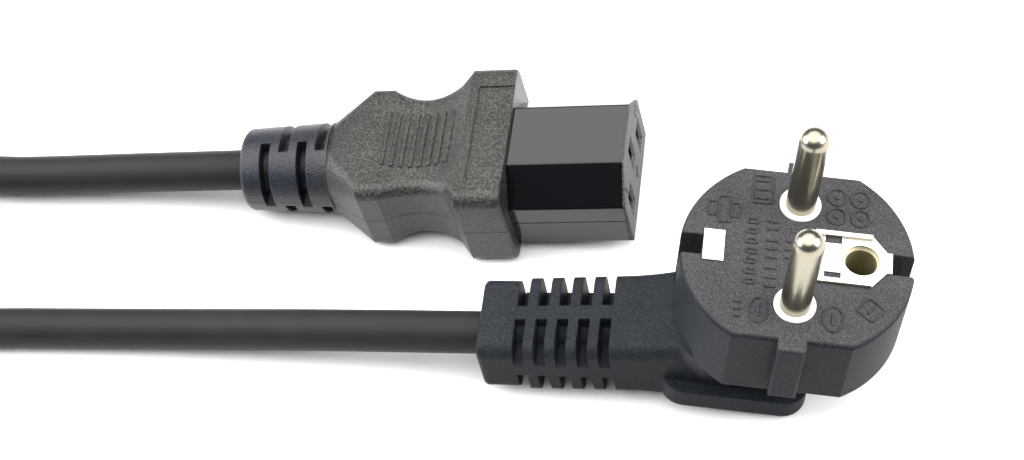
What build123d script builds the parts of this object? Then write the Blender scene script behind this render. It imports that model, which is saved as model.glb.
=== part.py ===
from build123d import *
from math import atan, cos, degrees, pi, radians, sin, tan
import os

# Detachable mains lead: a moulded angled wall plug with two round pins and both kinds of earth
# contact (CEE 7/7), 1.8 m of round three-core cord, and a C13 appliance connector.
# Millimetres, +Z up. The two ends lie side by side on a table and both leads run off along -X.
# Plug head frame: X across the face toward the earth socket, Y along the line of pins, Z out of
# the face, so depths into the plug are negative Z. The head leans away from its flat-lying lead.
# Connector frame: X out of the nose, Y across, Z up, with the origin on the nose's end face.

# Cord
cord_d = 7.4
wire_d = 2.4
strands_d = 1.3
wire_spread = 1.9
jacket_grip = 20.0
bare_length = 0.5
crimp_depth = 5.0
crimp_d = 3.0
crimp_bite = 0.2
core_straight = 4.2
plug_core_bend = 2.6
connector_core_bend = 5.0

# How far a cut runs past the face that it opens
overcut = 1.0

# Plug head
plug_x = 42.55
plug_y = -16.15
ends_apart = 34.85
head_tilt = 10.0
disc_r = 18.5
disc_depth = 15.0
flat_half = 16.0
flat_rib_width = 4.4
flat_rib_reach = 17.9
flat_rib_depth = 14.0
flat_rib_round = 0.5
face_round = 0.8
notch_width = 3.8
notch_floor = 14.6
waist_top = (-17.0, 13.0, 12.5)
waist_low = (-16.0, 4.0, 8.2)
waist_round = 5.0
waist_seat = 0.5
plate_left = -18.6
plate_right = 5.6
plate_half = 10.9
plate_depth = 32.7
plate_thick = 5.0
plate_corner = 4.0
plate_round = 1.2

# Plug pins and their carrier
pin_r = 2.4
pin_reach = 19.0
pin_half_pitch = 9.5
pin_root = 15.0
pin_root_r = 2.2
pin_dome = 2.3
pin_crimp_depth = 13.2
pin_crimp_reach = 7.5
collar_r = 3.3
collar_proud = 0.3
collar_gap = 0.1
carrier_top = 3.0
carrier_low = 10.0
carrier_half_width = 14.0
carrier_left = -8.0
carrier_right = 5.5
carrier_corner = 1.5

# Plug earth parts
strap_t = 0.8
strap_width = 5.8
strap_outer = 14.8
strap_bar_depth = 13.0
strap_proud = 0.25
strap_tab = 3.3
earth_x = 10.0
earth_bore_r = 2.5
earth_mouth_r = 2.8
earth_sleeve_r = 3.3
earth_sleeve_depth = 14.2
eye_r = 5.0
earth_plate_left = 2.6
earth_plate_shoulder = 11.6
earth_plate_half = 4.8
earth_plate_tip = 0.9
earth_rim = 0.8
window_back = 1.6
window_long = 2.6
window_wide = 1.3
earth_crimp_reach = 7.0

# Plug neck and strain relief, which run level just above the table
relief_rise = 8.2
relief_half_width = 7.7
relief_half_height = 6.1
relief_rib_half_width = 8.0
relief_rib_half_height = 6.4
neck_rise = 8.9
neck_half_width = 8.2
neck_half_height = 6.6
relief_corner = 2.4
relief_round = 1.0
relief_mouth = 54.1
relief_end = 31.0
relief_block = 6.3
relief_gap = 1.9
relief_pitch = 3.65
relief_gap_count = 5
relief_core_r = 4.7
relief_spine_half = 1.35
side_spine_low = -0.5
side_spine_high = 2.7
neck_sections = ((26.0, 16.6, 13.6, 9.1), (19.5, 17.2, 15.6, 9.5), (12.0, 18.0, 21.0, 10.8))
core_fan_back = 17.2
core_fan_half = 4.2
core_fan_rise = 2.3
core_gather_back = 24.5

# Connector nose
nose_x = 11.15
nose_y = plug_y + ends_apart
nose_width = 24.0
nose_height = 16.0
nose_chamfer = 5.75
nose_length = 20.9
nose_round = 0.6
slot_long = 5.0
slot_short = 2.8
slot_depth = 17.0
slot_lead_in = 0.5
slot_half_pitch = 7.0
slot_drop = -2.0
earth_slot_rise = 2.0
contact_wall = 0.4
contact_set_back = 3.0
earth_contact_lead = 1.0
stub_width = 19.0
stub_height = 11.0
stub_length = 9.0
stub_corner = 2.0
stem_reach = 33.0

# Connector overmould
flange_half_width = 15.2
flange_half_height = 9.5
flange_back = 29.0
flange_corner = 2.4
flange_rim = 0.6
grip_corner = 2.2
grip_shoulder_half = 12.2
grip_shoulder_rise = 8.2
grip_shoulder_back = 47.6
grip_shoulder_front = 43.9
grip_waist_half = 10.6
grip_waist_rise = 7.1
grip_waist = 37.0
grip_front_half = 12.5
grip_front_rise = 8.6
grip_front = 31.0
grip_tail = 54.4
grip_tail_half = 8.0
grip_tail_rise = 7.6
grip_tail_corner = 6.6
scallop_steps = 4
rib_count = 8
rib_first = 31.0
rib_pitch = 1.68
rib_width = 0.7
rib_height = 0.35
rib_half = 5.8
panel_half = 10.2
panel_back = 27.4
panel_depth = 0.4
tail_r = 8.3
tail_end_r = 7.5
tail_length = 71.4
tail_round = 1.0
tail_core_r = 5.2
tail_slot = 1.9
tail_slots = ((66.4, -8.0, 90.0), (62.8, 76.0, 174.0), (59.3, -8.0, 90.0), (55.8, 76.0, 174.0))

# Where the two ends rest: the plug on the lower edge of its back, the connector on its flange and tail
face_height = (
    plate_round
    + (plate_depth - plate_round) * cos(radians(head_tilt))
    + (plate_right - plate_round) * sin(radians(head_tilt))
)
nose_pitch = degrees(atan((flange_half_height - tail_end_r) / (tail_length - tail_round - flange_back)))
nose_height_up = flange_half_height * cos(radians(nose_pitch)) + flange_back * sin(radians(nose_pitch))

cord_r = cord_d / 2
plug_place = Pos(plug_x, plug_y, 0)
head_place = plug_place * Pos(0, 0, face_height) * Rot(0, head_tilt, 0)
nose_place = Pos(nose_x, nose_y, nose_height_up) * Rot(0, -nose_pitch, 0)


def block(x0, x1, y0, y1, z0, z1):
    """A box given by its two corners."""
    return Pos((x0 + x1) / 2, (y0 + y1) / 2, (z0 + z1) / 2) * Box(x1 - x0, y1 - y0, z1 - z0)


def rod(x0, x1, y, z, r):
    """A round bar along X."""
    return Pos((x0 + x1) / 2, y, z) * Rot(0, 90, 0) * Cylinder(r, x1 - x0)


def post(x, y, z0, z1, r):
    """A round bar along Z."""
    return Pos(x, y, (z0 + z1) / 2) * Cylinder(r, z1 - z0)


def across(x, width, height, corner, rise):
    """A rounded rectangle standing across X, with its centre at the height rise."""
    return Pos(x, 0, rise) * (Plane.YZ * RectangleRounded(width, height, corner))


def point(place, x, y, z):
    """A point of one end's own frame, in the model's frame."""
    return (place * Pos(x, y, z)).position


def swept(points, diameter, radii):
    """A round bar along straight runs joined by tangent arcs."""
    path = FilletPolyline(*points, radius=radii)
    start = Plane(origin=path @ 0, z_dir=path % 0)
    return sweep(start * Circle(diameter / 2), path=path)


def spread(index):
    """Where each of the three cores leaves the jacket, round the cord's axis."""
    angle = radians(90 + 120 * index)
    return wire_spread * cos(angle), wire_spread * sin(angle)


def wiring(route, bend):
    """The conductor from its crimp to the jacket, and the insulation that covers it past the crimp."""
    start, bare_end, *rest = route
    strands = swept([start, *rest], strands_d, bend)
    cover = swept([bare_end, *rest], wire_d, bend)
    return strands, cover


# Plug: live pins
def pin_form(side):
    seat = collar_proud + collar_gap
    shank = post(0, 0, seat, pin_reach, pin_r)
    shank = fillet(shank.edges().sort_by(Axis.Z)[-1], pin_dome)
    shank += post(0, 0, -pin_root, seat, pin_root_r)
    barrel = rod(-pin_crimp_reach, 0, 0, -pin_crimp_depth, crimp_d / 2)
    return Pos(0, side * pin_half_pitch, 0) * (shank + barrel)


# Plug: stiff carrier that holds the pins at their pitch, with a collar showing round each pin
def carrier_form():
    body = block(
        carrier_left, carrier_right, -carrier_half_width, carrier_half_width, -carrier_low, -carrier_top
    )
    body = fillet(body.edges().filter_by(Axis.Z), carrier_corner)
    for side in (-1, 1):
        body += post(0, side * pin_half_pitch, -carrier_top, collar_proud, collar_r)
        body -= post(0, side * pin_half_pitch, -carrier_low, collar_proud, pin_root_r)
    return body


# Plug: one strip of sheet makes both side contacts and the plate round the earth socket
def strap_form():
    half = strap_width / 2
    low = -strap_bar_depth - strap_t
    inner = strap_outer - strap_t
    bar = block(-strap_outer, strap_outer, -half, half, low, -strap_bar_depth)
    bar += post(earth_x, 0, low, -strap_bar_depth, eye_r)
    bar -= post(earth_x, 0, low, -strap_bar_depth, earth_sleeve_r)
    left = block(-strap_outer, -inner, -half, half, low, strap_proud)
    left += block(-strap_outer, strap_tab - strap_outer, -half, half, strap_proud - strap_t, strap_proud)
    right = block(inner, strap_outer, -notch_width / 2, notch_width / 2, low, strap_proud)
    outline = Polyline(
        (earth_plate_left, -earth_plate_half),
        (earth_plate_shoulder, -earth_plate_half),
        (strap_outer, -earth_plate_tip),
        (strap_outer, earth_plate_tip),
        (earth_plate_shoulder, earth_plate_half),
        (earth_plate_left, earth_plate_half),
        close=True,
    )
    plate = extrude(Pos(0, 0, strap_proud) * make_face(outline), -strap_t)
    for side in (-1, 1):
        rim_out = side * earth_plate_half
        rim_in = side * (earth_plate_half - earth_rim)
        plate += block(
            earth_plate_left,
            earth_plate_shoulder,
            min(rim_out, rim_in),
            max(rim_out, rim_in),
            strap_proud,
            strap_proud + earth_rim / 2,
        )
        window = Pos(earth_plate_left + window_back + window_long / 2, rim_in - side * window_wide / 2, 0)
        plate -= window * Box(window_long, window_wide, 2 * strap_t)
    plate -= post(earth_x, 0, -strap_t, strap_t, earth_mouth_r)
    crimp = rod(-earth_crimp_reach, 0, 0, low - crimp_d / 2 + crimp_bite, crimp_d / 2)
    return bar + left + right + plate + crimp


# Plug: turned sleeve under the plate, which takes the wall socket's earth pin
def sleeve_form():
    return post(earth_x, 0, -earth_sleeve_depth, strap_proud - strap_t, earth_sleeve_r)


# Plug: the soft moulding, first its outer form
def head_form():
    face = Circle(disc_r) & Rectangle(2 * disc_r, 2 * flat_half)
    disc = extrude(face, -disc_depth)
    disc = chamfer(disc.faces().sort_by(Axis.Z)[-1].edges(), face_round, face_round / 2)
    rib = block(
        -flat_rib_width / 2, flat_rib_width / 2, -flat_rib_reach, flat_rib_reach, -flat_rib_depth, 0
    )
    rib = fillet(rib.edges().filter_by(Axis.Z) + rib.edges().filter_by(Axis.X), flat_rib_round)
    waist_depth = plate_depth - plate_thick
    left, right, half = waist_top
    low_left, low_right, low_half = waist_low
    upper = Pos((left + right) / 2, 0, waist_seat - disc_depth)
    upper *= RectangleRounded(right - left, 2 * half, waist_round)
    lower = Pos((low_left + low_right) / 2, 0, -waist_depth - waist_seat)
    lower *= RectangleRounded(low_right - low_left, 2 * low_half, waist_round)
    waist = loft([upper, lower])
    back = Pos((plate_left + plate_right) / 2, 0, -waist_depth)
    back *= RectangleRounded(plate_right - plate_left, 2 * plate_half, plate_corner)
    back = extrude(back, -plate_thick)
    back = fillet(back.faces().sort_by(Axis.Z)[0].edges(), plate_round)
    head = disc + rib + waist + back
    for side in (-1, 1):
        reach = (notch_floor + disc_r + overcut) / 2
        notch = Pos(side * reach, 0, -disc_depth / 2)
        head -= notch * Box(disc_r + overcut - notch_floor, notch_width, disc_depth + overcut)
    return head


def relief_form():
    """Neck and ribbed strain relief along -X, in the plug's upright frame."""
    ribs_start = relief_block - relief_mouth
    width, height = 2 * relief_half_width, 2 * relief_half_height
    mouth = across(-relief_mouth, width, height, relief_corner, relief_rise)
    block_end = across(ribs_start, width, height, relief_corner, relief_rise)
    relief = loft([mouth, block_end])
    relief = fillet(relief.faces().sort_by(Axis.X)[0].edges(), relief_round)
    width, height = 2 * relief_rib_half_width, 2 * relief_rib_half_height
    first_rib = across(ribs_start, width, height, relief_corner, relief_rise)
    root = across(-relief_end, 2 * neck_half_width, 2 * neck_half_height, relief_corner, neck_rise)
    relief += loft([first_rib, root])
    flare = [across(-x, width, height, relief_corner, rise) for x, width, height, rise in neck_sections]
    neck = loft([root, *flare])
    reach = 2 * neck_half_width
    low = relief_rise + side_spine_low
    high = relief_rise + side_spine_high
    for i in range(relief_gap_count):
        x = ribs_start + i * relief_pitch
        ring = block(x, x + relief_gap, -reach, reach, -reach, 2 * reach)
        ring -= rod(x, x + relief_gap, 0, relief_rise, relief_core_r)
        ring -= block(x, x + relief_gap, -relief_spine_half, relief_spine_half, -reach, 2 * reach)
        ring -= block(x, x + relief_gap, -reach, 0, low, high)
        ring -= block(x, x + relief_gap, 0, reach, 2 * relief_rise - high, 2 * relief_rise - low)
        relief -= ring
    return relief + neck


# Connector: the stiff insert with the nose and its three slots
slots = {
    "line": (-slot_half_pitch, slot_drop, 0.0),
    "neutral": (slot_half_pitch, slot_drop, 0.0),
    "earth": (0.0, earth_slot_rise, earth_contact_lead),
}


def insert_form():
    half, rise = nose_width / 2, nose_height / 2
    outline = Polyline(
        (-half, -rise),
        (half, -rise),
        (half, rise - nose_chamfer),
        (half - nose_chamfer, rise),
        (nose_chamfer - half, rise),
        (-half, rise - nose_chamfer),
        close=True,
    )
    section = make_face(outline)
    section = fillet(section.vertices(), nose_round)
    nose = extrude(Plane.YZ * section, -nose_length)
    stub = Pos(-nose_length, 0, 0) * (Plane.YZ * RectangleRounded(stub_width, stub_height, stub_corner))
    insert = nose + extrude(stub, -stub_length)
    for y, z, _ in slots.values():
        insert -= block(
            -slot_depth, overcut, y - slot_short / 2, y + slot_short / 2, z - slot_long / 2, z + slot_long / 2
        )
        insert -= rod(-nose_length - stub_length, -slot_depth, y, z, crimp_d / 2)
    end = insert.faces().sort_by(Axis.X)[-1]
    mouths = [edge for wire in end.inner_wires() for edge in wire.edges()]
    insert = chamfer(mouths, slot_lead_in)
    rim = insert.faces().sort_by(Axis.X)[-1].outer_wire().edges()
    return fillet(rim, nose_round / 2)


def contact_form(y, z, lead):
    """A folded spring socket that fills its slot, with a crimp stem behind."""
    front = lead - contact_set_back
    half_y, half_z = slot_short / 2, slot_long / 2
    socket = block(-slot_depth, front, y - half_y, y + half_y, z - half_z, z + half_z)
    socket -= block(
        contact_wall - slot_depth,
        front,
        y - half_y + contact_wall,
        y + half_y - contact_wall,
        z - half_z + contact_wall,
        z + half_z - contact_wall,
    )
    return socket + rod(-stem_reach, -slot_depth, y, z, crimp_d / 2)


# Connector: the soft moulding with flange, scalloped grip and slotted tail
def curve_through(x, stations):
    """Height at x of the parabola through three stations."""
    total = 0.0
    for here, value in stations:
        share = value
        for other, _ in stations:
            if other != here:
                share *= (x - other) / (here - other)
        total += share
    return total


def scallop(x):
    """Half width and half height of the finger scallop at the distance x behind the nose's end."""
    half = curve_through(
        x,
        (
            (grip_shoulder_front, grip_shoulder_half),
            (grip_waist, grip_waist_half),
            (grip_front, grip_front_half),
        ),
    )
    rise = curve_through(
        x,
        (
            (grip_shoulder_front, grip_shoulder_rise),
            (grip_waist, grip_waist_rise),
            (grip_front, grip_front_rise),
        ),
    )
    return half, rise


def grip_section(x, half, rise, corner):
    return across(-x, 2 * half, 2 * rise, corner, 0)


def grip_form():
    tail_end = grip_section(grip_tail, grip_tail_half, grip_tail_rise, grip_tail_corner)
    shoulder = grip_section(grip_shoulder_back, grip_shoulder_half, grip_shoulder_rise, grip_corner)
    front = grip_section(grip_shoulder_front, grip_shoulder_half, grip_shoulder_rise, grip_corner)
    stations = [
        grip_shoulder_front + (grip_front - grip_shoulder_front) * i / scallop_steps
        for i in range(scallop_steps + 1)
    ]
    hollow = [grip_section(x, *scallop(x), grip_corner) for x in stations]
    flange_face = grip_section(flange_back, flange_half_width, flange_half_height, flange_corner)
    grip = loft([tail_end, shoulder], ruled=True)
    grip += loft([shoulder, front], ruled=True)
    grip += loft(hollow)
    grip += loft([hollow[-1], flange_face], ruled=True)
    flange = extrude(flange_face, flange_back - nose_length)
    grip += fillet(flange.faces().sort_by(Axis.X)[-1].edges(), flange_rim)
    for i in range(rib_count):
        x = rib_first + (i + 0.5) * rib_pitch
        reach = scallop(x)[1] + rib_height
        grip += block(-x - rib_width / 2, -x + rib_width / 2, -rib_half, rib_half, -reach, reach)
    floor = flange_half_height - panel_depth
    panel = block(-panel_back, 0, -panel_half, panel_half, floor, flange_half_height + overcut)
    return grip - panel


def tail_form():
    outline = Polyline(
        (-grip_tail, 0), (-grip_tail, tail_r), (-tail_length, tail_end_r), (-tail_length, 0), close=True
    )
    tail = revolve(Plane.XZ * make_face(outline), Axis.X)
    tail = fillet(tail.edges().sort_by(Axis.X)[0], tail_round)
    depth = 2 * (tail_r - tail_core_r)
    for x, low, high in tail_slots:
        profile = Plane.XZ * (Pos(-x, tail_core_r + depth / 2) * Rectangle(tail_slot, depth))
        for turn in (0, 180):
            tail -= Rot(90 - high + turn, 0, 0) * revolve(profile, Axis.X, high - low)
    return tail


# Cord: the two leads that lie in sight, then a coil of what is left over
coil_x = -189.55
coil_y = 1.5
coil_outer_r = 40.8
coil_inner_r = coil_outer_r - cord_d
coil_levels = 3
coil_top_z = 24.95
floor_z = cord_r
lead_straight = 17.3

plug_lead_points = [
    (plug_x - relief_mouth + jacket_grip, plug_y, relief_rise),
    (-29.15, plug_y, relief_rise),
    (-72.55, plug_y, floor_z),
    (-124.85, plug_y, floor_z),
    (-161.35, -30.9, floor_z),
]
connector_lead_points = [
    tuple(point(nose_place, jacket_grip - tail_length, 0, 0)),
    tuple(point(nose_place, -tail_length - lead_straight, 0, 0)),
    (-124.55, nose_y, floor_z),
    (-147.35, 28.3, floor_z + cord_d),
    (-161.25, 33.9, floor_z + cord_d),
]


def corner_radii(points):
    """An arc at each inner point, as large as its two runs allow."""
    radii = []
    for before, here, after in zip(points, points[1:], points[2:]):
        arriving = Vector(*here) - Vector(*before)
        leaving = Vector(*after) - Vector(*here)
        half_turn = radians(arriving.get_angle(leaving)) / 2
        radii.append(0.45 * min(arriving.length, leaving.length) / tan(half_turn))
    return radii


def lead(name, points):
    radii = corner_radii(points)
    path = FilletPolyline(*points, radius=radii)
    tube = swept(points, cord_d, radii)
    whole = path.length * pi * cord_r**2
    print(name, "length", round(path.length, 1), "radii", [round(r) for r in radii])
    print(name, "volume over section times length", round(tube.volume / whole, 4))
    return tube


def coil_form():
    mean_r = (coil_outer_r + coil_inner_r) / 2
    height = coil_levels * cord_d
    bundle = Pos(mean_r, height / 2) * RectangleRounded(2 * cord_d, height, cord_r)
    bundle += Pos(mean_r, coil_top_z) * Circle(cord_r)
    return Pos(coil_x, coil_y, 0) * revolve(Plane.XZ * bundle, Axis.Z)


# Build every piece in its place
parts = {}
plug_cores = {}
for index, (core, side) in enumerate((("earth", 0), ("line", -1), ("neutral", 1))):
    y, z = spread(index)
    reach = pin_crimp_reach if side else earth_crimp_reach
    depth = pin_crimp_depth if side else strap_bar_depth + strap_t + crimp_d / 2 - crimp_bite
    across_y = side * pin_half_pitch
    route = [
        point(head_place, crimp_depth - reach, across_y, -depth),
        point(head_place, -reach - bare_length, across_y, -depth),
        point(head_place, -reach - core_straight, across_y, -depth),
        point(plug_place, -core_fan_back, side * core_fan_half, relief_rise + core_fan_rise),
        point(plug_place, -core_gather_back, y, relief_rise + z),
        point(plug_place, jacket_grip - relief_mouth, y, relief_rise + z),
    ]
    plug_cores[core] = wiring(route, plug_core_bend)

line_pin = head_place * pin_form(-1)
neutral_pin = head_place * pin_form(1)
carrier = head_place * carrier_form()
strap = head_place * strap_form()
sleeve = head_place * sleeve_form()
moulding = head_place * head_form() + plug_place * relief_form()
plug_jacket = plug_place * rod(-relief_mouth, jacket_grip - relief_mouth, 0, relief_rise, cord_r)
earth_bore = head_place * post(earth_x, 0, -earth_sleeve_depth, overcut, earth_bore_r)
earth_mouth = head_place * post(earth_x, 0, strap_proud - strap_t, overcut, earth_mouth_r)
for inner in (line_pin, neutral_pin, carrier, strap, sleeve, earth_mouth, plug_jacket):
    moulding -= inner
for strands, cover in plug_cores.values():
    moulding -= cover
    moulding -= strands

parts["plug_housing"] = moulding
parts["pin_carrier"] = carrier
parts["line_pin"] = line_pin - plug_cores["line"][0]
parts["neutral_pin"] = neutral_pin - plug_cores["neutral"][0]
parts["earth_strap"] = strap - plug_cores["earth"][0]
parts["earth_sleeve"] = sleeve - earth_bore
for core, (strands, cover) in plug_cores.items():
    parts[f"plug_{core}_wire"] = cover - strands
    parts[f"plug_{core}_strands"] = strands

insert = insert_form()
overmould = grip_form() + tail_form()
overmould -= rod(-tail_length, jacket_grip - tail_length, 0, 0, cord_r)
overmould -= insert
for index, (core, (slot_y, slot_z, forward)) in enumerate(sorted(slots.items())):
    y, z = spread(index)
    contact = contact_form(slot_y, slot_z, forward)
    route = [
        Vector(crimp_depth - stem_reach, slot_y, slot_z),
        Vector(-stem_reach - bare_length, slot_y, slot_z),
        Vector(-stem_reach - core_straight, slot_y, slot_z),
        Vector(-tail_length + jacket_grip + core_straight, y, z),
        Vector(-tail_length + jacket_grip, y, z),
    ]
    strands, cover = wiring(route, connector_core_bend)
    for inner in (contact, cover, strands):
        overmould -= inner
    parts[f"{core}_contact"] = nose_place * (contact - strands)
    parts[f"connector_{core}_wire"] = nose_place * (cover - strands)
    parts[f"connector_{core}_strands"] = nose_place * strands
parts["connector_insert"] = nose_place * insert
parts["connector_housing"] = nose_place * overmould

coil = coil_form()
parts["cord_coil"] = coil
parts["plug_lead"] = lead("plug_lead", plug_lead_points) - coil
parts["connector_lead"] = lead("connector_lead", connector_lead_points) - coil

os.makedirs("parts", exist_ok=True)
for name, shape in parts.items():
    export_step(shape, f"parts/{name}.step")
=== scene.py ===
import math

import bpy
from mathutils import Matrix, Vector


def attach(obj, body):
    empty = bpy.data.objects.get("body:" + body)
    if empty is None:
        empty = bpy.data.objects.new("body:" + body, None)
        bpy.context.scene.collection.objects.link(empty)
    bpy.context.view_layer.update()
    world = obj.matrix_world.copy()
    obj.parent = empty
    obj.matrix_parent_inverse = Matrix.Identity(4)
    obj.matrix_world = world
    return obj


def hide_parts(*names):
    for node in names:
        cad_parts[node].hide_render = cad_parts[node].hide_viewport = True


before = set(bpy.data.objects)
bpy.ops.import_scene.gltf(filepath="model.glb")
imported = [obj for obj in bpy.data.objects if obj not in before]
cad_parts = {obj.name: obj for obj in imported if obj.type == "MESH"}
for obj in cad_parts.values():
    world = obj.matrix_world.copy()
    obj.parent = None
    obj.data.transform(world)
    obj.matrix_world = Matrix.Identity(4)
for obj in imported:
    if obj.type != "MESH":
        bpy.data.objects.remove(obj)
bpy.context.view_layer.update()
mm = 0.001


# The plug's two pins are turned from brass rod and nickel plated, so they mirror the studio with
# a warm tint. They are pressed into a stiff white carrier, whose collars show round their feet.
def linear(colour):
    """An sRGB colour, written as hex, as the linear colour that a shader takes."""
    channels = [int(colour[i : i + 2], 16) / 255 for i in (1, 3, 5)]
    bright = [((c + 0.055) / 1.055) ** 2.4 if c > 0.04045 else c / 12.92 for c in channels]
    return (*bright, 1.0)


def add(tree, kind, inputs=None, **settings):
    """Adds a node with its settings. An input is a value or another node's output."""
    node = tree.nodes.new("ShaderNode" + kind)
    for name, value in settings.items():
        setattr(node, name, value)
    for name, value in (inputs or {}).items():
        if isinstance(value, bpy.types.NodeSocket):
            tree.links.new(value, node.inputs[name])
        else:
            node.inputs[name].default_value = value
    return node


def start_material(name, **constants):
    """A new material's node tree and its shader, with the shader's plain values set."""
    material = bpy.data.materials.new(name)
    material.use_nodes = True
    shader = material.node_tree.nodes["Principled BSDF"]
    for socket, value in constants.items():
        shader.inputs[socket.replace("_", " ")].default_value = value
    return material, material.node_tree, shader


def dress(material, *names):
    """Gives CAD nodes their real finish."""
    for name in names:
        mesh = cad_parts[name].data
        mesh.materials.clear()
        mesh.materials.append(material)


nickel_plate, tree, shader = start_material("nickel_plated_brass", Metallic=1.0)
place = add(tree, "TexCoord").outputs["Object"]
turning_marks = add(tree, "Mapping", {"Vector": place, "Scale": (0.2, 0.2, 1.0)}).outputs["Vector"]
tool_lines = add(tree, "TexNoise", {"Vector": turning_marks, "Scale": 1 / (0.25 * mm), "Detail": 2.0})
haze = add(tree, "TexNoise", {"Vector": place, "Scale": 1 / (6 * mm), "Detail": 3.0})
shader.inputs["Base Color"].default_value = linear("#979284")
roughness = add(tree, "MapRange", {"Value": haze.outputs["Fac"], "To Min": 0.2, "To Max": 0.33})
tree.links.new(roughness.outputs["Result"], shader.inputs["Roughness"])
bump = add(tree, "Bump", {"Height": tool_lines.outputs["Fac"], "Distance": 0.002 * mm, "Strength": 0.5})
tree.links.new(bump.outputs["Normal"], shader.inputs["Normal"])
dress(nickel_plate, "line_pin", "neutral_pin")

white_carrier, tree, shader = start_material("moulded_white_polyester", Roughness=0.42)
place = add(tree, "TexCoord").outputs["Object"]
mottle = add(tree, "TexNoise", {"Vector": place, "Scale": 1 / (2 * mm), "Detail": 2.0})
tint = add(
    tree,
    "Mix",
    {"Factor": mottle.outputs["Fac"], "A": linear("#d9d6cf"), "B": linear("#e6e3dc")},
    data_type="RGBA",
)
tree.links.new(tint.outputs["Result"], shader.inputs["Base Color"])
dress(white_carrier, "pin_carrier")


# One strip of nickel-plated sheet makes both side contacts and the plate round the earth socket.
# It is stamped and folded, so its flats are bright and faintly rolled. The socket's sleeve is brass.
stamped_nickel, tree, shader = start_material("stamped_nickel_sheet", Metallic=1.0)
place = add(tree, "TexCoord").outputs["Object"]
rolled = add(tree, "Mapping", {"Vector": place, "Scale": (0.15, 1.0, 1.0)}).outputs["Vector"]
roll_lines = add(tree, "TexNoise", {"Vector": rolled, "Scale": 1 / (0.3 * mm), "Detail": 3.0})
shader.inputs["Base Color"].default_value = linear("#c9c5ba")
roughness = add(tree, "MapRange", {"Value": roll_lines.outputs["Fac"], "To Min": 0.18, "To Max": 0.36})
tree.links.new(roughness.outputs["Result"], shader.inputs["Roughness"])
bump = add(tree, "Bump", {"Height": roll_lines.outputs["Fac"], "Distance": 0.004 * mm, "Strength": 0.4})
tree.links.new(bump.outputs["Normal"], shader.inputs["Normal"])
dress(stamped_nickel, "earth_strap")

drawn_brass, tree, shader = start_material("drawn_brass", Metallic=1.0)
place = add(tree, "TexCoord").outputs["Object"]
tarnish = add(tree, "TexNoise", {"Vector": place, "Scale": 1 / (1.5 * mm), "Detail": 4.0})
tint = add(
    tree,
    "Mix",
    {"Factor": tarnish.outputs["Fac"], "A": linear("#b3ab8c"), "B": linear("#d2cbb0")},
    data_type="RGBA",
)
tree.links.new(tint.outputs["Result"], shader.inputs["Base Color"])
roughness = add(tree, "MapRange", {"Value": tarnish.outputs["Fac"], "To Min": 0.45, "To Max": 0.62})
tree.links.new(roughness.outputs["Result"], shader.inputs["Roughness"])
dress(drawn_brass, "earth_sleeve", "line_contact", "neutral_contact", "earth_contact")


# Three cores run from the crimps to the jacket at each end: bare stranded copper under extruded
# PVC in the standard colours, brown for line, blue for neutral, green and yellow for earth.
copper, tree, shader = start_material("stranded_copper", Metallic=1.0, Roughness=0.35)
place = add(tree, "TexCoord").outputs["Object"]
strand = add(
    tree, "TexWave", {"Vector": place, "Scale": 1 / (0.8 * mm), "Distortion": 1.5}, bands_direction="DIAGONAL"
)
tint = add(
    tree,
    "Mix",
    {"Factor": strand.outputs["Fac"], "A": linear("#9c5a3c"), "B": linear("#d08a64")},
    data_type="RGBA",
)
tree.links.new(tint.outputs["Result"], shader.inputs["Base Color"])

core_colours = {
    "line": ("#5a3219", "#6b3f22"),
    "neutral": ("#1f4f9c", "#2a61b4"),
    "earth": ("#3f8f3a", "#d8c92c"),
}
for core, (dark, light) in core_colours.items():
    insulation, tree, shader = start_material(f"extruded_pvc_{core}", Roughness=0.4)
    place = add(tree, "TexCoord").outputs["Object"]
    stripe = add(
        tree, "TexWave", {"Vector": place, "Scale": 1 / (9 * mm), "Distortion": 0.6}, bands_direction="Y"
    )
    tint = add(
        tree,
        "Mix",
        {"Factor": stripe.outputs["Fac"], "A": linear(dark), "B": linear(light)},
        data_type="RGBA",
    )
    tree.links.new(tint.outputs["Result"], shader.inputs["Base Color"])
    for end in ("plug", "connector"):
        dress(insulation, f"{end}_{core}_wire")
        dress(copper, f"{end}_{core}_strands")


# Both ends are overmoulded in soft black PVC. The moulds are spark eroded, so the skin is matte with
# an even grain. Its grey specks are painted highlights, glints of light painted into the colour. The
# grain is drawn a little coarser than it is, so that it shows, and every edge is softened.
def beyond(tree, place, point, normal, blend):
    """Goes from 0 to 1 as the place passes a plane, over a distance."""
    normal = Vector(normal).normalized()
    along = add(tree, "VectorMath", {0: place, 1: normal}, operation="DOT_PRODUCT")
    level = normal.dot(Vector(point))
    edges = {"Value": along.outputs["Value"], "From Min": level - blend / 2, "From Max": level + blend / 2}
    return add(tree, "MapRange", edges, interpolation_type="SMOOTHSTEP").outputs["Result"]


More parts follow.
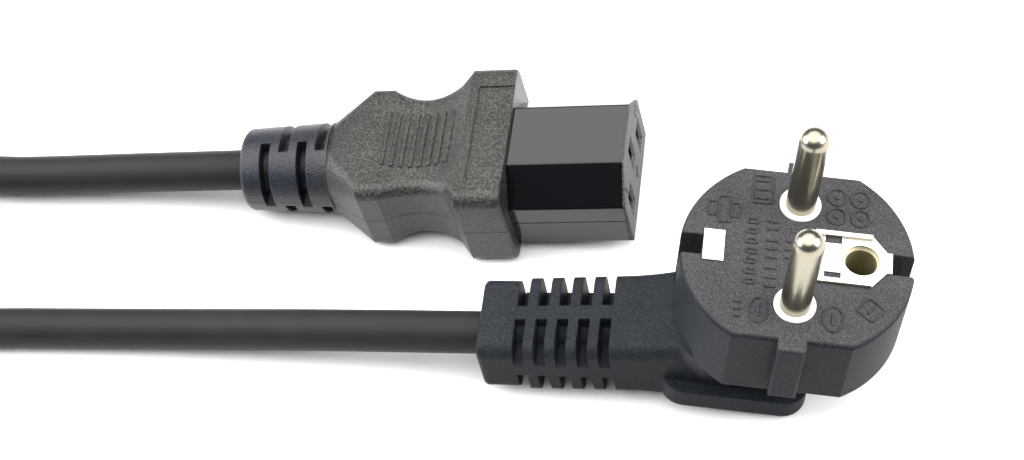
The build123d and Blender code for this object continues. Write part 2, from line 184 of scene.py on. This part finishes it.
def grained_pvc(name, grain, depth, gloss, rough, painted_glint_levels, skin, lighter_skin, plane_point, plane_normal, blend):
    """Soft PVC from a spark-eroded mould. Before a plane its colour is darker and bluer, painted shade; past
    the plane it is lighter.
    """
    material, tree, shader = start_material(name, Specular_IOR_Level=gloss)
    place = add(tree, "TexCoord").outputs["Object"]
    pits = add(tree, "TexNoise", {"Vector": place, "Scale": 1 / grain, "Detail": 3.0, "Roughness": 0.65})
    cloud = add(tree, "TexNoise", {"Vector": place, "Scale": 1 / (7 * mm), "Detail": 3.0})
    cloud_share = 0.12
    shade = add(tree, "Mix", {"Factor": cloud_share, "A": pits.outputs["Fac"], "B": cloud.outputs["Fac"]})
    # The grain's lighter specks in the colour are painted glints of light.
    darkest, lightest = painted_glint_levels
    painted_glint_range = {"Value": shade.outputs["Result"], "From Min": darkest, "From Max": lightest}
    spread = add(tree, "MapRange", painted_glint_range)
    # Painted shade: the darker, bluer colours before the plane stand in for shade, the colours past it are
    # lighter.
    painted_shading_mask = beyond(tree, place, plane_point, plane_normal, blend)
    pair = []
    for colour, other_colour in zip(skin, lighter_skin):
        both = {"Factor": painted_shading_mask, "A": linear(colour), "B": linear(other_colour)}
        pair.append(add(tree, "Mix", both, data_type="RGBA").outputs["Result"])
    tint = add(
        tree, "Mix", {"Factor": spread.outputs["Result"], "A": pair[0], "B": pair[1]}, data_type="RGBA"
    )
    tree.links.new(tint.outputs["Result"], shader.inputs["Base Color"])
    smoothest, roughest = rough
    roughness = add(tree, "MapRange", {"Value": pits.outputs["Fac"], "To Min": smoothest, "To Max": roughest})
    tree.links.new(roughness.outputs["Result"], shader.inputs["Roughness"])
    soft_edge = add(tree, "Bevel", {"Radius": 0.4 * mm}, samples=4)
    bump = add(
        tree,
        "Bump",
        {
            "Height": pits.outputs["Fac"],
            "Distance": depth,
            "Strength": 0.8,
            "Normal": soft_edge.outputs["Normal"],
        },
    )
    tree.links.new(bump.outputs["Normal"], shader.inputs["Normal"])
    return material


# The plug's face is painted paler than the sides, painted light where the light from above falls, and the
# sides are painted a bluish dark as painted shade. The face leans ten degrees away from the lead.
face_lean = 10
plug_face = (
    Matrix.Translation((0.04255, -0.01615, 0.032985)) @ Matrix.Rotation(math.radians(face_lean), 4, "Y")
)
plug_pvc = grained_pvc(
    "fine_spark_grained_pvc",
    grain=0.3 * mm,
    depth=0.06 * mm,
    gloss=0.08,
    rough=(0.42, 0.6),
    painted_glint_levels=(0.36, 0.66),
    # Painted shade on the sides, and painted light in the face's paler colour.
    skin=("#15181b", "#2d3136"),
    lighter_skin=("#29292b", "#4b4a4d"),
    plane_point=plug_face @ Vector((0, 0, -0.3 * mm)),
    plane_normal=plug_face.to_3x3() @ Vector((0, 0, 1)),
    blend=0.2 * mm,
)
dress(plug_pvc, "plug_housing")

# The connector's tail is painted blue-black as painted shade, and the body before it is a warmer
# grey-black. The grain is coarser and glossier here than on the plug.
connector_pvc = grained_pvc(
    "coarse_spark_grained_pvc",
    grain=0.34 * mm,
    depth=0.18 * mm,
    gloss=0.44,
    rough=(0.24, 0.44),
    painted_glint_levels=(0.44, 0.66),
    # The tail's blue-black is painted shade.
    skin=("#04060b", "#1d2536"),
    lighter_skin=("#050505", "#4c4a46"),
    plane_point=(-43 * mm, 0.0187, 0.0095),
    plane_normal=(1, 0, 0),
    blend=9 * mm,
)
dress(connector_pvc, "connector_housing")


# The plug's mould has plain marks cut into its face: dials, rings, blank frames and rows of dashes.
# They stand a little proud in the same soft PVC, with crisp upper edges.
mark_proud = 0.22 * mm
mark_foot = 0.1 * mm


def edit(piece):
    """Selects one piece alone and opens it for editing with nothing selected."""
    bpy.ops.object.select_all(action="DESELECT")
    piece.select_set(True)
    bpy.context.view_layer.objects.active = piece
    bpy.ops.object.mode_set(mode="EDIT")
    bpy.ops.mesh.select_mode(type="FACE")
    bpy.ops.mesh.select_all(action="DESELECT")


def raise_outline(piece, wall):
    """Turns a flat outline into a frame of one wall width that stands proud of the face."""
    edit(piece)
    bpy.ops.mesh.select_all(action="SELECT")
    if wall:
        bpy.ops.mesh.inset(thickness=wall)
        bpy.ops.mesh.delete(type="FACE")
        bpy.ops.mesh.select_all(action="SELECT")
    bpy.ops.mesh.extrude_region_move(TRANSFORM_OT_translate={"value": (0, 0, mark_proud + mark_foot)})
    bpy.ops.mesh.select_all(action="SELECT")
    bpy.ops.mesh.normals_make_consistent(inside=False)
    bpy.ops.object.mode_set(mode="OBJECT")


def ring_mark(x, y, half_x, half_y, wall):
    """A raised ring or oval on the plug's face, or a solid dot where it has no wall."""
    bpy.ops.object.select_all(action="DESELECT")
    bpy.ops.mesh.primitive_circle_add(vertices=40, radius=1, fill_type="NGON", location=(0, 0, 0))
    piece = bpy.context.object
    edit(piece)
    bpy.ops.mesh.select_all(action="SELECT")
    bpy.ops.transform.resize(value=(half_x * mm, half_y * mm, 1))
    bpy.ops.transform.translate(value=(x * mm, y * mm, -mark_foot))
    bpy.ops.object.mode_set(mode="OBJECT")
    raise_outline(piece, wall * mm)
    return piece


def frame_mark(x, y, long, wide, corner, wall, turn=0.0):
    """A raised blank frame with round corners on the plug's face, or a solid dash with no wall."""
    bpy.ops.object.select_all(action="DESELECT")
    bpy.ops.mesh.primitive_plane_add(size=1, location=(0, 0, 0))
    piece = bpy.context.object
    edit(piece)
    bpy.ops.mesh.select_all(action="SELECT")
    bpy.ops.transform.resize(value=(long * mm, wide * mm, 1))
    bpy.ops.mesh.select_mode(type="VERT")
    bpy.ops.mesh.bevel(offset=corner * mm, segments=4, affect="VERTICES")
    bpy.ops.mesh.select_mode(type="FACE")
    bpy.ops.mesh.select_all(action="SELECT")
    bpy.ops.transform.rotate(value=math.radians(turn), orient_axis="Z", center_override=(0, 0, 0))
    bpy.ops.transform.translate(value=(x * mm, y * mm, -mark_foot))
    bpy.ops.object.mode_set(mode="OBJECT")
    raise_outline(piece, wall * mm)
    return piece


def join_on(place, name, pieces):
    """Joins small pieces into one, puts it in its place and leaves the object at the origin."""
    bpy.ops.object.select_all(action="DESELECT")
    for piece in pieces:
        piece.select_set(True)
    bpy.context.view_layer.objects.active = pieces[0]
    bpy.ops.object.join()
    whole = bpy.context.object
    whole.name = name
    whole.matrix_world = place
    bpy.ops.object.transform_apply(location=True, rotation=True, scale=True)
    whole.data.materials.clear()
    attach(whole, "root")
    return whole


solid = 0
rim = 0.28
thin_rim = 0.26
bead_rim = 0.3
dash_wide, dash_corner = 0.34, 0.15
bar_wide, bar_corner = 0.5, 0.2

marks = []
for x, y in ((5.8, 11.7), (9.5, 11.7), (5.8, 8.0), (9.6, 8.0)):
    marks.append(ring_mark(x, y, 1.6, 1.7, rim))
    marks.append(ring_mark(x, y, 0.45, 0.45, solid))
for x, y, half_x in ((-5.6, -11.1, 1.5), (6.0, -11.3, 1.7)):
    marks.append(ring_mark(x, y, half_x, 2.4, rim))
    marks.append(frame_mark(x, y, bar_wide, 2.4, bar_corner, solid))
marks.append(frame_mark(-6.1, 11.7, 3.3, 5.6, 0.5, rim))
for row in range(3):
    marks.append(frame_mark(-6.1, 10.0 + row * 1.7, 1.9, 0.45, bar_corner, solid))
marks.append(frame_mark(-12.0, 7.1, 2.0, 5.2, 0.3, thin_rim))
for side in (-1, 1):
    marks.append(frame_mark(-12.0 + side * 1.9, 7.1, 1.5, 2.9, 0.3, thin_rim))
for y in (5.4, 3.5, 1.6, -0.3, -2.2, -4.1, -6.0):
    marks.append(frame_mark(-7.3, y, 1.9, 1.1, 0.4, bead_rim))
dash_columns = (
    (-4.1, 1.9, (5.6, 4.2, 2.0, 0.4, -1.2, -3.2, -5.0, -6.6)),
    (-1.2, 1.5, (2.2, 0.6, -1.0)),
    (-8.9, 1.2, (-10.0, -11.3, -12.6)),
)
for x, long, rows in dash_columns:
    for y in rows:
        marks.append(frame_mark(x, y, long, dash_wide, dash_corner, solid))
marks.append(frame_mark(11.7, -8.9, 3.4, 3.4, 0.6, rim, turn=38))
marks.append(frame_mark(11.7, -8.9, 1.5, 0.4, dash_corner, solid, turn=-52))
face_marks = join_on(plug_face, "plug_face_marks", marks)
face_marks.data.materials.append(plug_pvc)


# The connector's nose is one stiff black moulding with the three slots. Its sides come from a
# polished mould and reflect like glass, and its end face is grained and looks pale beside them.
nose_plastic, tree, shader = start_material("polished_black_polyamide", Specular_IOR_Level=0.5)
place = add(tree, "TexCoord").outputs["Object"]
wave = add(tree, "TexNoise", {"Vector": place, "Scale": 1 / (9 * mm), "Detail": 1.0})
end_grain = add(tree, "TexNoise", {"Vector": place, "Scale": 1 / (0.4 * mm), "Detail": 2.0})
nose_pitch = 2.766
nose_end = (
    Matrix.Translation((0.01115, 0.0187, 0.010888)) @ Matrix.Rotation(math.radians(-nose_pitch), 4, "Y")
)
split = add(tree, "SeparateXYZ", {"Vector": place})
end_skin = 0.6 * mm
end_begins = nose_end.translation.x - end_skin
is_end = add(tree, "Math", {0: split.outputs["X"], 1: end_begins}, operation="GREATER_THAN")
end_specks = add(tree, "MapRange", {"Value": end_grain.outputs["Fac"], "From Min": 0.4, "From Max": 0.6})
end_tint = add(
    tree,
    "Mix",
    {"Factor": end_specks.outputs["Result"], "A": linear("#1b1a19"), "B": linear("#4d4b49")},
    data_type="RGBA",
)
tint = add(
    tree,
    "Mix",
    {"Factor": is_end.outputs["Value"], "A": linear("#060607"), "B": end_tint.outputs["Result"]},
    data_type="RGBA",
)
tree.links.new(tint.outputs["Result"], shader.inputs["Base Color"])
roughness = add(tree, "MapRange", {"Value": is_end.outputs["Value"], "To Min": 0.13, "To Max": 0.6})
tree.links.new(roughness.outputs["Result"], shader.inputs["Roughness"])
soft_edge = add(tree, "Bevel", {"Radius": 0.3 * mm}, samples=4)
ripple = add(
    tree,
    "Bump",
    {
        "Height": wave.outputs["Fac"],
        "Distance": 0.02 * mm,
        "Strength": 0.5,
        "Normal": soft_edge.outputs["Normal"],
    },
)
grain_strength = add(tree, "Math", {0: is_end.outputs["Value"], 1: 0.9}, operation="MULTIPLY")
bump = add(
    tree,
    "Bump",
    {
        "Height": end_grain.outputs["Fac"],
        "Distance": 0.12 * mm,
        "Strength": grain_strength.outputs["Value"],
        "Normal": ripple.outputs["Normal"],
    },
)
tree.links.new(bump.outputs["Normal"], shader.inputs["Normal"])
dress(nose_plastic, "connector_insert")


# The end face names the slots with small raised letters, L and N, and an earth sign of three bars.
# The two halves of the nose's mould met just below its middle and left a fine line on each side.
def letter(text, y, z, height):
    """A raised letter in the plane of the end face, upright across the nose."""
    font = bpy.data.curves.new("letter", "FONT")
    font.body = text
    font.size = height * mm
    font.align_x = "CENTER"
    font.align_y = "CENTER"
    font.extrude = 0.12 * mm
    font.resolution_u = 3
    piece = bpy.data.objects.new("letter", font)
    bpy.context.scene.collection.objects.link(piece)
    bpy.ops.object.select_all(action="DESELECT")
    piece.select_set(True)
    bpy.context.view_layer.objects.active = piece
    bpy.ops.object.convert(target="MESH")
    upright = Matrix(((0, 0, 1), (1, 0, 0), (0, 1, 0))).to_4x4()
    piece.matrix_world = Matrix.Translation((0, y * mm, z * mm)) @ upright
    bpy.ops.object.transform_apply(location=True, rotation=True, scale=True)
    return piece


def bar(x, y, z, long, wide, tall):
    """A small straight rib with softened edges."""
    bpy.ops.object.select_all(action="DESELECT")
    bpy.ops.mesh.primitive_cube_add(size=1, location=(0, 0, 0))
    piece = bpy.context.object
    edit(piece)
    bpy.ops.mesh.select_all(action="SELECT")
    bpy.ops.transform.resize(value=(long * mm, wide * mm, tall * mm))
    bpy.ops.mesh.select_mode(type="EDGE")
    bpy.ops.mesh.select_all(action="SELECT")
    bpy.ops.mesh.bevel(offset=0.2 * min(long, wide, tall) * mm, segments=2)
    bpy.ops.transform.translate(value=(x * mm, y * mm, z * mm))
    bpy.ops.object.mode_set(mode="OBJECT")
    return piece


letter_side, letter_rise, letter_height = 8.6, 3.0, 2.6
sign_y, sign_first, sign_step, sign_stem = 0.2, -3.6, 0.6, -2.9
stroke_deep, stroke_wide = 0.24, 0.26
nose_side, parting_rise, parting_middle, parting_long, parting_thick = 12.0, -1.8, -10.45, 20.3, 0.14
end_marks = [
    letter("L", -letter_side, letter_rise, letter_height),
    letter("N", letter_side, letter_rise, letter_height),
]
for row, width in enumerate((2.4, 1.6, 0.8)):
    end_marks.append(bar(0, sign_y, sign_first - sign_step * row, stroke_deep, width, stroke_wide))
end_marks.append(bar(0, sign_y, sign_stem, stroke_deep, stroke_wide, 1.2))
for side in (-1, 1):
    parting = bar(
        parting_middle, side * nose_side, parting_rise, parting_long, parting_thick, parting_thick
    )
    end_marks.append(parting)
nose_marks = join_on(nose_end, "nose_marks", end_marks)
nose_marks.data.materials.append(nose_plastic)


# The connector's overmould parts at its middle too. The cut outline of the moulding at that height
# gives the line, a hair of flash that the mould left all round the flange, grip and tail. What the
# cut finds inside the moulding is taken away.
flash_thick = 0.035 * mm
body_ends = -31 * mm
inside_body, inside_tail = 13 * mm, 7 * mm
bpy.ops.object.select_all(action="DESELECT")
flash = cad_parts["connector_housing"].copy()
flash.data = flash.data.copy()
bpy.context.scene.collection.objects.link(flash)
edit(flash)
bpy.ops.mesh.select_all(action="SELECT")
bpy.ops.mesh.remove_doubles(threshold=0.002 * mm)
bpy.ops.mesh.select_all(action="SELECT")
middle_up = nose_end.to_3x3() @ Vector((0, 0, 1))
bpy.ops.mesh.bisect(plane_co=nose_end.translation, plane_no=middle_up, clear_inner=True, clear_outer=True)
bpy.ops.mesh.select_mode(type="VERT")
bpy.ops.mesh.select_all(action="DESELECT")
bpy.ops.object.mode_set(mode="OBJECT")
from_nose_end = nose_end.inverted()
for vertex in flash.data.vertices:
    here = from_nose_end @ vertex.co
    inner = inside_body if here.x > body_ends else inside_tail
    vertex.select = abs(here.y) < inner
bpy.ops.object.mode_set(mode="EDIT")
bpy.ops.mesh.delete(type="VERT")
bpy.ops.object.mode_set(mode="OBJECT")
bpy.ops.object.convert(target="CURVE")
flash = bpy.context.object
flash.data.bevel_depth = flash_thick
flash.data.bevel_resolution = 2
bpy.ops.object.convert(target="MESH")
flash = bpy.context.object
connector_flash = join_on(Matrix.Identity(4), "connector_flash", [flash])
connector_flash.data.materials.append(connector_pvc)


# The cord is 1.8 m of round three-core flex with an extruded PVC jacket. Both ends run straight
# off to the left, and the spare length lies in a neat coil of two columns, three turns high, with
# one turn on top.
cord_radius = 3.7 * mm
cord_pitch = 7.4 * mm
coil_x, coil_y = -0.18955, 0.0015
coil_outer, coil_inner = 0.0408, 0.0334
coil_ridge = 0.02495
points_per_turn = 24
lead_angle = 68

# Each turn steps over to the place of the next, one after the other, so that they hardly press into
# each other. The steps on to and off the top turn roll a little round the turn beside them.
step_begins = (-6, 8, 16, 24, 58, 60)
step_width = 56
ridge_steps = {3: -1, 4: 1}
roll_out, roll_up = 0.4 * mm, 0.25 * mm

plug_lead = [
    (0.00845, -0.01615, 0.0082),
    (-0.02915, -0.01615, 0.0082),
    (-0.07255, -0.0141, 0.0037),
    (-0.12485, -0.0149, 0.0037),
    (-0.16135, -0.0309, 0.0037),
]
connector_lead = [
    (-0.16125, 0.0339, 0.0111),
    (-0.14735, 0.0283, 0.0111),
    (-0.12455, 0.0187, 0.0037),
    (-0.07745, 0.0187, 0.00661),
    (-0.04019, 0.0187, 0.00841),
]
turns = [
    (coil_outer, cord_radius),
    (coil_inner, cord_radius),
    (coil_inner, cord_radius + cord_pitch),
    (coil_inner, cord_radius + 2 * cord_pitch),
    ((coil_outer + coil_inner) / 2, coil_ridge),
    (coil_outer, cord_radius + 2 * cord_pitch),
    (coil_outer, cord_radius + cord_pitch),
]
coil_turns = []
swept = 360 * len(turns) - 2 * lead_angle
for i in range(1, round(swept * points_per_turn / 360)):
    angle = -lead_angle - i * 360 / points_per_turn
    radius, height = turns[0]
    for step in range(len(turns) - 1):
        begins = step_begins[step] - 360 * (step + 1)
        part = min(1, max(0, (begins - angle) / step_width))
        part = part * part * (3 - 2 * part)
        radius += part * (turns[step + 1][0] - turns[step][0])
        height += part * (turns[step + 1][1] - turns[step][1])
        if step in ridge_steps:
            roll = 4 * part * (1 - part)
            radius += ridge_steps[step] * roll_out * roll
            height += roll_up * roll
    x = coil_x + radius * math.cos(math.radians(angle))
    y = coil_y + radius * math.sin(math.radians(angle))
    coil_turns.append((x, y, height))

route = plug_lead + coil_turns + connector_lead
curve = bpy.data.curves.new("cord", "CURVE")
curve.dimensions = "3D"
spline = curve.splines.new("NURBS")
spline.points.add(len(route) - 1)
for control, (x, y, z) in zip(spline.points, route):
    control.co = (x, y, z, 1)
    control.radius = cord_radius
spline.order_u = 3
spline.use_endpoint_u = True
curve.resolution_u = 8
curve.bevel_depth = 1.0
curve.bevel_resolution = 7
curve.use_fill_caps = True
cord = bpy.data.objects.new("cord", curve)
bpy.context.scene.collection.objects.link(cord)
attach(cord, "root")
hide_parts("plug_lead", "connector_lead", "cord_coil")

jacket, tree, shader = start_material("extruded_pvc_jacket", Specular_IOR_Level=0.12)
place = add(tree, "TexCoord").outputs["Object"]
drag = add(tree, "Mapping", {"Vector": place, "Scale": (0.12, 1.0, 1.0)}).outputs["Vector"]
die_lines = add(tree, "TexNoise", {"Vector": drag, "Scale": 1 / (0.4 * mm), "Detail": 2.0})
scuff = add(tree, "TexNoise", {"Vector": place, "Scale": 1 / (5 * mm), "Detail": 4.0})
tint = add(
    tree,
    "Mix",
    {"Factor": scuff.outputs["Fac"], "A": linear("#212121"), "B": linear("#2a2a2a")},
    data_type="RGBA",
)
tree.links.new(tint.outputs["Result"], shader.inputs["Base Color"])
roughness = add(tree, "MapRange", {"Value": scuff.outputs["Fac"], "To Min": 0.36, "To Max": 0.5})
tree.links.new(roughness.outputs["Result"], shader.inputs["Roughness"])
bump = add(tree, "Bump", {"Height": die_lines.outputs["Fac"], "Distance": 0.01 * mm, "Strength": 0.4})
tree.links.new(bump.outputs["Normal"], shader.inputs["Normal"])
curve.materials.append(jacket)
dress(jacket, "plug_lead", "connector_lead", "cord_coil")


# The cord lies on a plain white table top, large enough to fill the picture from any side. It sends
# no soft light back up, so the undersides stay dark.
bpy.ops.object.select_all(action="DESELECT")
bpy.ops.mesh.primitive_plane_add(size=6.0, location=(0, 0, 0))
table = bpy.context.object
table.name = "table_top"
table_paint, tree, shader = start_material("matte_white_board", Roughness=0.7)
place = add(tree, "TexCoord").outputs["Object"]
mottle = add(tree, "TexNoise", {"Vector": place, "Scale": 4.0, "Detail": 2.0})
tint = add(
    tree,
    "Mix",
    {"Factor": mottle.outputs["Fac"], "A": linear("#f0f0f0"), "B": linear("#f4f4f4")},
    data_type="RGBA",
)
tree.links.new(tint.outputs["Result"], shader.inputs["Base Color"])
table.data.materials.append(table_paint)
table.visible_diffuse = False


# Soft studio light: a large overhead panel, one panel at each side, and a weak bluish fill all round.
def soft_light(name, place, target, size, watts, colour="#ffffff"):
    """An oval panel of even light that faces its target."""
    light = bpy.data.lights.new(name, "AREA")
    light.shape = "ELLIPSE"
    light.size, light.size_y = size
    light.energy = watts
    light.color = linear(colour)[:3]
    lamp = bpy.data.objects.new(name, light)
    bpy.context.scene.collection.objects.link(lamp)
    lamp.location = place
    lamp.rotation_euler = (Vector(target) - Vector(place)).to_track_quat("-Z", "Y").to_euler()


soft_light(
    "overhead_panel",
    place=(0.0, 0.25, 1.3),
    target=(0, 0.25, 0),
    size=(2.6, 2.4),
    watts=56,
    colour="#fffcf7",
)
for side in (-1, 1):
    soft_light("side_panel", place=(side * 1.6, 0.0, 0.9), target=(0, 0, 0), size=(1.6, 1.2), watts=46)
world = bpy.data.worlds.new("studio")
world.use_nodes = True
fill = world.node_tree.nodes["Background"]
fill.inputs["Color"].default_value = linear("#c9d3e4")
fill.inputs["Strength"].default_value = 0.25
bpy.context.scene.world = world


# The camera stands on the plug's side and looks down on both ends, leaning a little.
picture_width = 1024
focal_pixels = 2140
sensor_width = 36.0
azimuth, elevation, roll = 19.22, 53.47, -15.0
camera_data = bpy.data.cameras.new("camera")
camera_data.sensor_fit = "HORIZONTAL"
camera_data.sensor_width = sensor_width
camera_data.lens = sensor_width * focal_pixels / picture_width
camera_data.clip_start = 0.01
camera = bpy.data.objects.new("camera", camera_data)
bpy.context.scene.collection.objects.link(camera)
camera.location = (0.06428, -0.20652, 0.31091)
turn = Matrix.Rotation(math.radians(azimuth), 3, "Z")
tip = Matrix.Rotation(math.radians(90 - elevation), 3, "X")
lean = Matrix.Rotation(math.radians(roll), 3, "Z")
camera.rotation_euler = (turn @ tip @ lean).to_euler()
bpy.context.scene.camera = camera
bpy.context.scene.view_settings.view_transform = "Standard"
